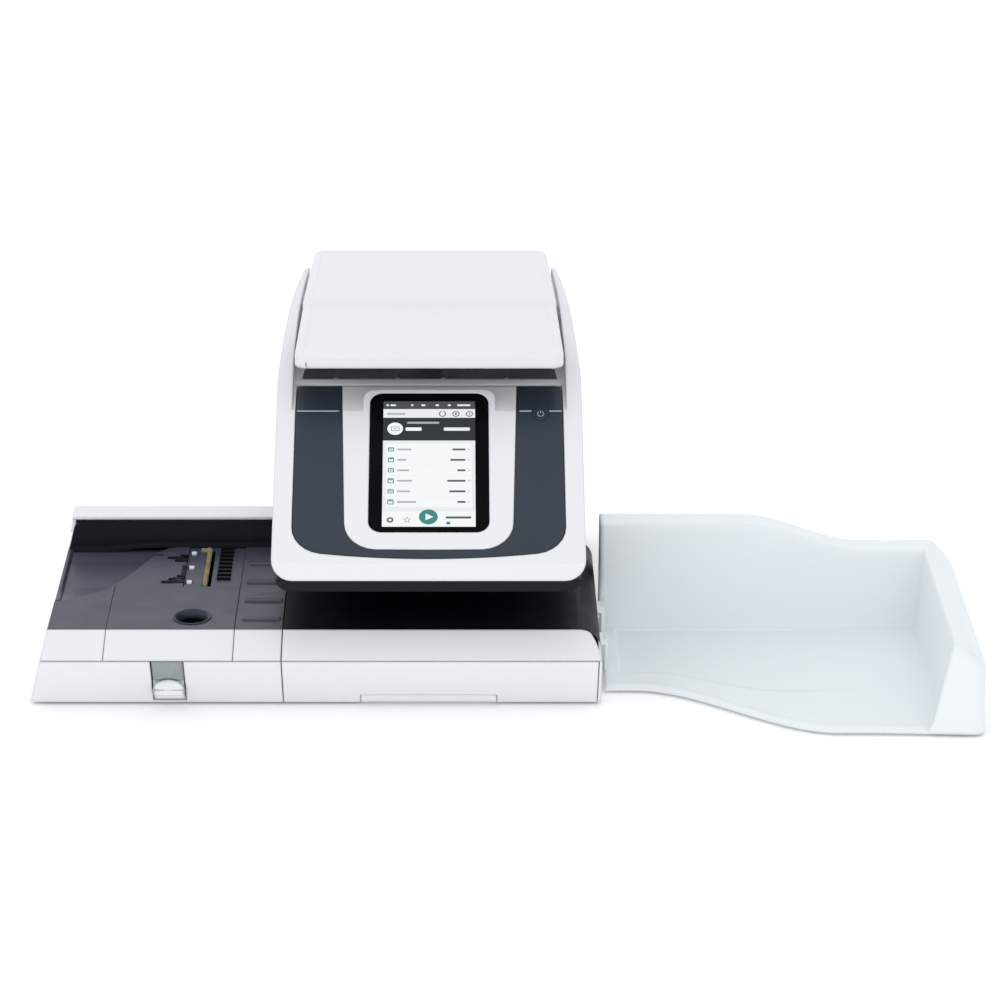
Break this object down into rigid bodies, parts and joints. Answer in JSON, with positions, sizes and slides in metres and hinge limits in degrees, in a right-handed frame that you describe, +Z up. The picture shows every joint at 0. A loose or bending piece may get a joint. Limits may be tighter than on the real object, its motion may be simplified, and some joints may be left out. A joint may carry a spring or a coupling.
{
  "type": "franking machine",
  "caption": "Desktop franking machine: touch-screen print head over a mail deck, weighing platform on top, sealing feeder at left and curved catch tray at right.",
  "frame": {"origin": "centre of the footprint, on the table surface", "axes": "+X along the mail path from the feeder to the catch tray, +Y to the rear, +Z up; the operator stands on the -Y side"},
  "size_m": [0.924, 0.514, 0.3295],
  "materials": {
    "white_shell": "fine-textured satin white ABS",
    "tray_plastic": "satin pale blue-grey polystyrene",
    "slate_gloss": "semi-gloss dark slate",
    "deck_slate": "fine-textured slate grey",
    "black_plastic": "satin black",
    "grey_plastic": "satin grey",
    "screen": "glossy black glass",
    "steel": "zinc-plated sheet and ground rod",
    "aluminium": "machined",
    "rubber_black": "matt rubber",
    "circuit_board": "solder mask",
    "blue_plastic": "semi-gloss touch-point blue",
    "brush_fibre": "nylon bristle",
    "tank_plastic": "translucent polypropylene"
  },
  "bodies": {
    "machine": {"base_tub": "black_plastic", "lower_panel": "white_shell", "front_band": "white_shell", "deck_plate": "deck_slate", "side_cover": "white_shell", "rear_housing": "white_shell", "rear_cover": "white_shell", "side_frames": "steel", "cross_bars": "steel", "underside_housing": "slate_gloss", "head_shell": "white_shell", "base_feet": "rubber_black", "main_board": "circuit_board", "power_supply": "steel", "connector_block": "black_plastic", "power_inlet": "black_plastic", "drive_motor": "steel", "timing_belt": "black_plastic", "bearing_blocks": "grey_plastic", "transport_belts": "rubber_black", "guide_rods": "steel", "load_cell": "aluminium", "feeder_case": "white_shell", "feeder_band": "white_shell", "feeder_deck": "deck_slate", "feeder_wall": "deck_slate", "feeder_pan": "black_plastic", "feeder_feet": "rubber_black", "sealer_hinge_pin": "steel", "sealer_unit": "deck_slate", "moistening_brush": "brush_fibre", "flap_comb": "black_plastic", "flap_pads": "white_shell", "frame_screws": "steel"},
    "front_cover": {"door_band": "slate_gloss", "door_panel": "white_shell", "screen_glass": "screen", "display_module": "grey_plastic", "hinge_pins": "steel"},
    "power_button": {"power_button": "slate_gloss"},
    "scale_bracket": {"platform_bracket": "steel", "platform_pads": "rubber_black"},
    "weighing_platform": {"weighing_platform": "white_shell"},
    "card_drawer": {"card_drawer": "white_shell"},
    "sealer_cover": {"sealer_cover": "deck_slate", "sealer_cover_front": "white_shell"},
    "water_tank": {"water_tank": "tank_plastic"},
    "catch_tray": {"catch_tray": "tray_plastic", "tray_hooks": "tray_plastic", "tray_feet": "rubber_black"},
    "drive_shaft": {"drive_shaft": "aluminium"},
    "idler_shaft": {"idler_shaft": "aluminium"},
    "motor_pulley": {"motor_pulley": "aluminium"},
    "roller_carriage": {"roller_carriage": "grey_plastic"},
    "pressure_roller_1": {"pressure_roller_1": "rubber_black"},
    "pressure_roller_2": {"pressure_roller_2": "rubber_black"},
    "pressure_roller_3": {"pressure_roller_3": "rubber_black"},
    "release_lever": {"release_lever": "blue_plastic"},
    "print_carriage": {"print_carriage": "grey_plastic"},
    "ink_cartridge": {"ink_cartridge": "black_plastic"}
  },
  "joints": [
    {"name": "front_cover_hinge", "type": "hinge", "parent": "machine", "child": "front_cover", "pos_m": [-0.073, 0.039, 0.249], "axis": [-1, 0, 0], "range_deg": [0, 40]},
    {"name": "power_button_press", "type": "slide", "parent": "front_cover", "child": "power_button", "axis": [0, 0.5225, -0.8526], "range_m": [0, 0.001], "stiffness_N_per_m": 600, "springref_m": -0.0005},
    {"name": "scale_flex", "type": "slide", "parent": "machine", "child": "scale_bracket", "axis": [0, 0, -1], "range_m": [0, 0.0015], "stiffness_N_per_m": 20000, "springref_m": -0.0012},
    {"name": "platform_lift_off", "type": "slide", "parent": "scale_bracket", "child": "weighing_platform", "axis": [0, 0, 1], "range_m": [0, 0.03]},
    {"name": "card_drawer_slide", "type": "slide", "parent": "machine", "child": "card_drawer", "axis": [0, -1, 0], "range_m": [0, 0.09]},
    {"name": "sealer_cover_hinge", "type": "hinge", "parent": "machine", "child": "sealer_cover", "pos_m": [-0.337, 0.019, 0.0742], "axis": [-1, 0, 0], "range_deg": [0, 55]},
    {"name": "water_tank_slide", "type": "slide", "parent": "machine", "child": "water_tank", "axis": [0, -1, 0], "range_m": [0, 0.07]},
    {"name": "catch_tray_slide_off", "type": "slide", "parent": "machine", "child": "catch_tray", "axis": [1, 0, 0], "range_m": [0, 0.04]},
    {"name": "drive_shaft_spin", "type": "hinge", "parent": "machine", "child": "drive_shaft", "pos_m": [0.027, -0.003, 0.1055], "axis": [0, 1, 0], "continuous": true},
    {"name": "idler_shaft_spin", "type": "hinge", "parent": "machine", "child": "idler_shaft", "pos_m": [-0.173, -0.043, 0.1055], "axis": [0, 1, 0], "continuous": true},
    {"name": "motor_pulley_spin", "type": "hinge", "parent": "machine", "child": "motor_pulley", "pos_m": [-0.013, 0.072, 0.15], "axis": [0, 1, 0], "continuous": true},
    {"name": "release_lever_pull", "type": "hinge", "parent": "machine", "child": "release_lever", "pos_m": [-0.187, -0.023, 0.134], "axis": [1, 0, 0], "range_deg": [0, 30.5]},
    {"name": "roller_carriage_drop", "type": "slide", "parent": "machine", "child": "roller_carriage", "axis": [0, 0, -1], "range_m": [0, 0.015], "stiffness_N_per_m": 900, "springref_m": -0.012},
    {"name": "pressure_roller_1_spin", "type": "hinge", "parent": "roller_carriage", "child": "pressure_roller_1", "pos_m": [-0.133, -0.039, 0.0764], "axis": [0, 1, 0], "continuous": true},
    {"name": "pressure_roller_2_spin", "type": "hinge", "parent": "roller_carriage", "child": "pressure_roller_2", "pos_m": [-0.073, -0.039, 0.0764], "axis": [0, 1, 0], "continuous": true},
    {"name": "pressure_roller_3_spin", "type": "hinge", "parent": "roller_carriage", "child": "pressure_roller_3", "pos_m": [-0.013, -0.039, 0.0764], "axis": [0, 1, 0], "continuous": true},
    {"name": "print_carriage_slide", "type": "slide", "parent": "machine", "child": "print_carriage", "axis": [-1, 0, 0], "range_m": [0, 0.06]},
    {"name": "ink_cartridge_lift_out", "type": "slide", "parent": "print_carriage", "child": "ink_cartridge", "axis": [0, 0, 1], "range_m": [0, 0.018]}
  ],
  "couplings": [
    {"joint": "idler_shaft_spin", "follows": "drive_shaft_spin", "ratio": 1},
    {"joint": "motor_pulley_spin", "follows": "drive_shaft_spin", "ratio": 1.3046},
    {"joint": "release_lever_pull", "follows": "roller_carriage_drop", "rad_per_m": 34.907}
  ]
}
